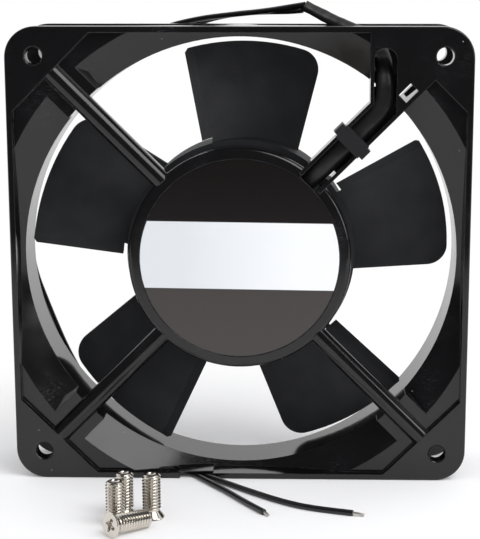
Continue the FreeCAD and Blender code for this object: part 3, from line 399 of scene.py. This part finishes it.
# %% Label film
LABEL_BAND_TOP = 9.7 * MM
LABEL_BAND_LOW = -8.0 * MM
LABEL_TILT = math.radians(0.7)
label_film, tree, output = new_material("printed_label_film_gloss")
place = add(tree, "ShaderNodeTexCoord").outputs["Object"]
apart = add(tree, "ShaderNodeSeparateXYZ", Vector=place)
height = add(tree, "ShaderNodeMath", {"operation": "MULTIPLY_ADD"}, i0=apart.outputs["X"],
             i1=math.tan(LABEL_TILT), i2=apart.outputs["Z"]).outputs[0]
# The pale band is painted lighter from left to right: a painted highlight across the print.
pale_band_with_painted_light = add(tree, "ShaderNodeMix", {"data_type": "RGBA"},
           i0=ramp(tree, apart.outputs["X"], -0.015, 0.015, 0, 1), i6=linear("#d5d8dc"),
           i7=linear("#e9ebee")).outputs[2]
above_low = ramp(tree, height, LABEL_BAND_LOW - 0.00005, LABEL_BAND_LOW + 0.00005, 0, 1)
above_top = ramp(tree, height, LABEL_BAND_TOP - 0.00005, LABEL_BAND_TOP + 0.00005, 0, 1)
lower = add(tree, "ShaderNodeMix", {"data_type": "RGBA"}, i0=above_low, i6=linear("#3a3634"),
            i7=pale_band_with_painted_light).outputs[2]
printed = add(tree, "ShaderNodeMix", {"data_type": "RGBA"}, i0=above_top, i6=lower,
              i7=linear("#0d0807")).outputs[2]
shader = add(tree, "ShaderNodeBsdfPrincipled", Base_Color=printed, Roughness=0.25)
finish_material(tree, output, shader)

# %% Give every CAD node its finish
FINISHES = {
    "black_enamel_casting": black_enamel, "label_film": label_film, "black_nylon": clip_nylon,
    "heat_shrink": heat_shrink, "lead_pvc": lead_pvc, "tinned_copper": tinned_copper,
    "impeller_nylon": matt_nylon, "brass_tube": brass, "spring_steel": spring_steel, "ground_steel": steel,
    "zinc_steel": zinc, "electrical_steel": laminations, "cast_aluminium": cast_aluminium,
    "enamelled_copper": enamelled_copper, "bare_copper": copper, "white_insulator": white_insulator,
    "green_board": green_board, "bearing_cage": zinc, "nickel_screws": nickel,
}
for name, thing in nodes.items():
    old = thing.data.materials[0].name.split(".")[0] if thing.data.materials else ""
    thing.data.materials.clear()
    thing.data.materials.append(FINISHES.get(old, black_enamel))
for lead in (live_lead, neutral_lead):
    lead.data.materials.append(lead_pvc)
print("finishes", len(FINISHES))

# %% [markdown]
# ## The fixing screws
# Four nickel-plated countersunk screws lie loose in front of the fan, three on their heads, one on its side.
# A turned thread follows a rule, so its mesh is a grid whose radius rises and falls along a helix. One screw
# is made, and Geometry Nodes put a copy on each of four points, turned by the angle stored on the point.

# %% One screw
PITCH = 0.8 * MM
CREST = 2.35 * MM
ROOT = 1.93 * MM
HEAD = 3.2 * MM
RIM = 0.35 * MM
HEAD_DEPTH = 2.0 * MM
LENGTH = 11.3 * MM
RUN_OUT = 0.5 * MM
TIP_TAPER = 0.55 * MM
TIP_HOLLOW = 0.6 * MM
AROUND = 64
LOBE_REACH = 1.85 * MM
LOBE_WIDTH = 0.6 * MM
LOBE_DEPTH = 0.95 * MM


def recess_depth(radius, turn):
    """How deep the cross recess is at this place of the head's face."""
    deepest = 0
    for quarter in range(4):
        off = (turn - quarter * math.pi / 2 + math.pi) % (2 * math.pi) - math.pi
        along, across = radius * math.cos(off), abs(radius * math.sin(off))
        if along < 0:
            continue
        width = LOBE_WIDTH * (1 - 0.25 * along / LOBE_REACH)
        side = min(1, max(0, (width - across) / (0.09 * MM)))
        end = min(1, max(0, (LOBE_REACH - along) / (0.5 * MM)))
        deepest = max(deepest, LOBE_DEPTH * side * end * (1 - 0.35 * along / LOBE_REACH))
    core = min(1, max(0, (0.62 * MM - radius) / (0.12 * MM)))
    return max(deepest, LOBE_DEPTH * core)


def thread_radius(height, turn):
    """The radius of the threaded shank: flanks of 60 degrees with a flat crest, running out at both ends."""
    phase = (height / PITCH - turn / (2 * math.pi)) % 1
    rise = min(1, max(0, (0.5 - abs(phase - 0.5)) * 2.6 - 0.15))
    start = min(1, max(0, (height - HEAD_DEPTH) / RUN_OUT))
    radius = ROOT + (CREST - ROOT) * rise * start
    end = (LENGTH - height) / RUN_OUT
    return min(radius, CREST - TIP_TAPER + TIP_TAPER * min(1, max(0, end)))


def screw_mesh():
    """A screw standing on its head at the origin."""
    rings = []
    turns = [2 * math.pi * i / AROUND for i in range(AROUND)]
    for step in range(1, 40):
        radius = (HEAD - 0.12 * MM) * step / 39
        rings.append([(radius, recess_depth(radius, turn), turn) for turn in turns])
    rings.append([(HEAD, 0.1 * MM, turn) for turn in turns])
    rings.append([(HEAD, RIM, turn) for turn in turns])
    for step in range(1, 7):
        share = step / 6
        radius, height = HEAD + (ROOT - HEAD) * share, RIM + (HEAD_DEPTH - RIM) * share
        rings.append([(radius, height, turn) for turn in turns])
    steps = int((LENGTH - HEAD_DEPTH) / (PITCH / 10))
    for step in range(1, steps + 1):
        height = HEAD_DEPTH + (LENGTH - HEAD_DEPTH) * step / steps
        rings.append([(thread_radius(height, turn), height, turn) for turn in turns])
    for radius, depth in ((1.25 * MM, 0), (1.0 * MM, 0.35 * MM), (0.4 * MM, TIP_HOLLOW)):
        rings.append([(radius, LENGTH - depth, turn) for turn in turns])
    vertices = [(r * math.cos(t), r * math.sin(t), z) for ring in rings for r, z, t in ring]
    faces = []
    for ring in range(len(rings) - 1):
        for i in range(AROUND):
            j = (i + 1) % AROUND
            low_row, high_row = ring * AROUND, (ring + 1) * AROUND
            faces.append((low_row + i, low_row + j, high_row + j, high_row + i))
    vertices += [(0, 0, LOBE_DEPTH), (0, 0, LENGTH - TIP_HOLLOW)]
    bottom, top = len(vertices) - 2, len(vertices) - 1
    last = (len(rings) - 1) * AROUND
    for i in range(AROUND):
        j = (i + 1) % AROUND
        faces.append((bottom, j, i))
        faces.append((top, last + i, last + j))
    mesh = bpy.data.meshes.new("one_screw")
    mesh.from_pydata(vertices, [], faces)
    shape = bmesh.new()
    shape.from_mesh(mesh)
    bmesh.ops.recalc_face_normals(shape, faces=shape.faces)
    shape.to_mesh(mesh)
    shape.free()
    for face in mesh.polygons:
        face.use_smooth = True
    mesh.set_sharp_from_angle(angle=math.radians(38))
    mesh.materials.append(nickel)
    return mesh


one_screw = bpy.data.objects.new("one_screw", screw_mesh())
bpy.context.scene.collection.objects.link(one_screw)
print("screw triangles", sum(len(p.vertices) - 2 for p in one_screw.data.polygons))

# %% Copies of the screw by Geometry Nodes
LYING_DROP = math.asin((HEAD - CREST) / (LENGTH - 0.5 * MM))
LYING_HEADING = math.radians(43)
STANDING = [(-20.8, -29.7), (-27.7, -28.8), (-29.2, -35.3)]
lying_turn = (Matrix.Rotation(LYING_HEADING, 4, "Z") @ Matrix.Rotation(math.pi / 2 + LYING_DROP, 4, "Y")
              @ Matrix.Rotation(math.radians(20), 4, "Z")).to_euler()
spots = [((x * MM, y * MM, FLOOR_Z), (0, 0, 0.7 * index)) for index, (x, y) in enumerate(STANDING)]
spots.append(((-29.4 * MM, -44.2 * MM, FLOOR_Z + HEAD * math.cos(LYING_DROP)), tuple(lying_turn)))


def copies_tree():
    """Geometry Nodes: a copy of an object on each point, turned by the point's own angle."""
    tree = bpy.data.node_groups.new("copies_on_points", "GeometryNodeTree")
    tree.interface.new_socket("Geometry", in_out="INPUT", socket_type="NodeSocketGeometry")
    tree.interface.new_socket("Piece", in_out="INPUT", socket_type="NodeSocketObject")
    tree.interface.new_socket("Finish", in_out="INPUT", socket_type="NodeSocketMaterial")
    tree.interface.new_socket("Geometry", in_out="OUTPUT", socket_type="NodeSocketGeometry")
    given = add(tree, "NodeGroupInput")
    piece = add(tree, "GeometryNodeObjectInfo", Object=given.outputs["Piece"])
    angle = add(tree, "GeometryNodeInputNamedAttribute", {"data_type": "FLOAT_VECTOR"}, Name="turn")
    turn = add(tree, "FunctionNodeEulerToRotation", Euler=angle.outputs["Attribute"])
    copies = add(tree, "GeometryNodeInstanceOnPoints", Points=given.outputs["Geometry"],
                 Instance=piece.outputs["Geometry"], Rotation=turn.outputs[0])
    real = add(tree, "GeometryNodeRealizeInstances", Geometry=copies.outputs[0])
    done = add(tree, "GeometryNodeSetMaterial", Geometry=real.outputs[0], Material=given.outputs["Finish"])
    add(tree, "NodeGroupOutput", Geometry=done.outputs[0])
    return tree


def plain_mesh(source, name):
    """The evaluated object as a plain mesh of its own, at the origin; the source goes."""
    bpy.context.view_layer.update()
    mesh = bpy.data.meshes.new_from_object(source.evaluated_get(bpy.context.evaluated_depsgraph_get()))
    mesh.name = name
    made = bpy.data.objects.new(name, mesh)
    bpy.context.scene.collection.objects.link(made)
    bpy.data.objects.remove(source)
    return made


def set_inputs(modifier, tree, **values):
    """Sets a Geometry Nodes modifier's inputs by the identifiers of their sockets."""
    for item in tree.interface.items_tree:
        if item.in_out == "INPUT" and item.name.replace(" ", "_") in values:
            modifier[item.identifier] = values[item.name.replace(" ", "_")]


points = bpy.data.meshes.new("screw_spots")
points.from_pydata([spot for spot, _ in spots], [], [])
turns = points.attributes.new("turn", "FLOAT_VECTOR", "POINT")
turns.data.foreach_set("vector", [angle for _, turn in spots for angle in turn])
holder = bpy.data.objects.new("screw_spots", points)
bpy.context.scene.collection.objects.link(holder)
tree = copies_tree()
modifier = holder.modifiers.new("copies", "NODES")
modifier.node_group = tree
set_inputs(modifier, tree, Piece=one_screw, Finish=nickel)
threaded_screws = plain_mesh(holder, "threaded_screws")
bpy.data.objects.remove(one_screw)
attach(threaded_screws, "screws")
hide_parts("fixing_screws")
print("screws", len(spots), "copies,", len(threaded_screws.data.polygons), "faces")

# %% [markdown]
# ## The sleeve
# Heat-shrink tube holds both leads from the motor to above the frame. It was shrunk over two round wires, so
# it is a flattened tube with a shallow valley along the middle, and it gets narrower towards its cut end.
# A section is swept along the smooth line, and its width, height and valley change along the way.

# %% Sleeve along its line


def in_channel(along, depth):
    """A point of the line while it lies in the channel, in millimetres."""
    return ((along - 1.45) / math.sqrt(2), depth, (along + 1.45) / math.sqrt(2))


SLEEVE_POINTS = to_metres([
    in_channel(19.5, 5.7), in_channel(25.5, 5.2), in_channel(32.8, 3.0), in_channel(44.5, 2.9),
    (37.4, 2.95, 39.5), (37.4, 3.1, 46.4), (37.2, 8.7, 52.9), (33.4, 13.3, 57.2), (25.5, 14.8, 60.3),
    (16.7, 15.8, 64.9)])
_, sleeve_line = line_length(SLEEVE_POINTS)

# Along the sleeve, from 0 in the channel to 1 at the cut end: half width and half height in millimetres, and
# how deep the valley between the two wires is, as a share of the half height.
HALF_WIDTHS = [(0, 2.3), (0.25, 2.6), (0.5, 2.5), (0.62, 2.1), (0.8, 1.9), (1, 1.6)]
HALF_HEIGHTS = [(0, 1.6), (0.3, 1.55), (0.52, 1.35), (0.7, 1.45), (1, 1.15)]
VALLEYS = [(0, 0.02), (0.35, 0.05), (0.55, 0.22), (0.75, 0.08), (1, 0.16)]
BORE_SHARE = 0.84
BORE_SHOWN = 1.2 * MM


def walk(line, step):
    """Points along a line at an even distance."""
    lengths = [0]
    for a, b in zip(line, line[1:]):
        lengths.append(lengths[-1] + (b - a).length)
    count = max(2, round(lengths[-1] / step))
    found, at = [], 0
    for index in range(count + 1):
        want = lengths[-1] * index / count
        while at < len(line) - 2 and lengths[at + 1] < want:
            at += 1
        share = (want - lengths[at]) / max(1e-9, lengths[at + 1] - lengths[at])
        found.append(line[at].lerp(line[at + 1], min(1, max(0, share))))
    return found


def between(value, table):
    """A smooth value read from (place, value) pairs."""
    for (x0, y0), (x1, y1) in zip(table, table[1:]):
        if value <= x1:
            share = min(1, max(0, (value - x0) / (x1 - x0)))
            return y0 + (y1 - y0) * share * share * (3 - 2 * share)
    return table[-1][1]


def swept_sleeve():
    """The tube: outside, cut end and a short inside."""
    line = walk(sleeve_line, 0.5 * MM)
    around = 40
    rings = []
    side = Vector((1, 0, -1)).normalized()
    for index, point in enumerate(line):
        share = index / (len(line) - 1)
        heading = (line[min(index + 1, len(line) - 1)] - line[max(index - 1, 0)]).normalized()
        side = (side - heading * side.dot(heading)).normalized()
        up = side.cross(heading)
        half_width = between(share, HALF_WIDTHS) * MM
        half_height = between(share, HALF_HEIGHTS) * MM
        valley = between(share, VALLEYS)
        ripple = 0.03 * MM * math.sin(share * 83) + 0.02 * MM * math.sin(share * 191 + 1)
        ring = []
        for i in range(around):
            turn = 2 * math.pi * i / around
            pinch = 1 - valley * (abs(math.sin(turn)) ** 6)
            wave = 1 + 0.02 * math.sin(3 * turn + share * 40)
            ring.append(point + side * (half_width + ripple) * wave * math.cos(turn)
                        + up * (half_height + ripple) * pinch * wave * math.sin(turn))
        rings.append(ring)
    centre = line[-1]
    heading = (line[-1] - line[-2]).normalized()
    rings.append([centre + (spot - centre) * BORE_SHARE for spot in rings[-1]])
    rings.append([spot - heading * BORE_SHOWN for spot in rings[-1]])
    vertices = [spot for ring in rings for spot in ring]
    faces = []
    for ring in range(len(rings) - 1):
        for i in range(around):
            j = (i + 1) % around
            here, beyond = ring * around, (ring + 1) * around
            faces.append((here + i, here + j, beyond + j, beyond + i))
    faces.append(tuple(reversed(range(around))))
    faces.append(tuple((len(rings) - 1) * around + i for i in range(around)))
    mesh = bpy.data.meshes.new("shrunk_sleeve")
    mesh.from_pydata(vertices, [], faces)
    shape = bmesh.new()
    shape.from_mesh(mesh)
    bmesh.ops.recalc_face_normals(shape, faces=shape.faces)
    shape.to_mesh(mesh)
    shape.free()
    for face in mesh.polygons:
        face.use_smooth = True
    mesh.set_sharp_from_angle(angle=math.radians(50))
    made = bpy.data.objects.new("shrunk_sleeve", mesh)
    bpy.context.scene.collection.objects.link(made)
    return made


sleeve = swept_sleeve()
sleeve.data.materials.append(heat_shrink)
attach(sleeve, "frame")
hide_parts("lead_sleeve")
print("sleeve", len(sleeve.data.polygons), "faces")

# %% Update the scene
bpy.context.view_layer.update()
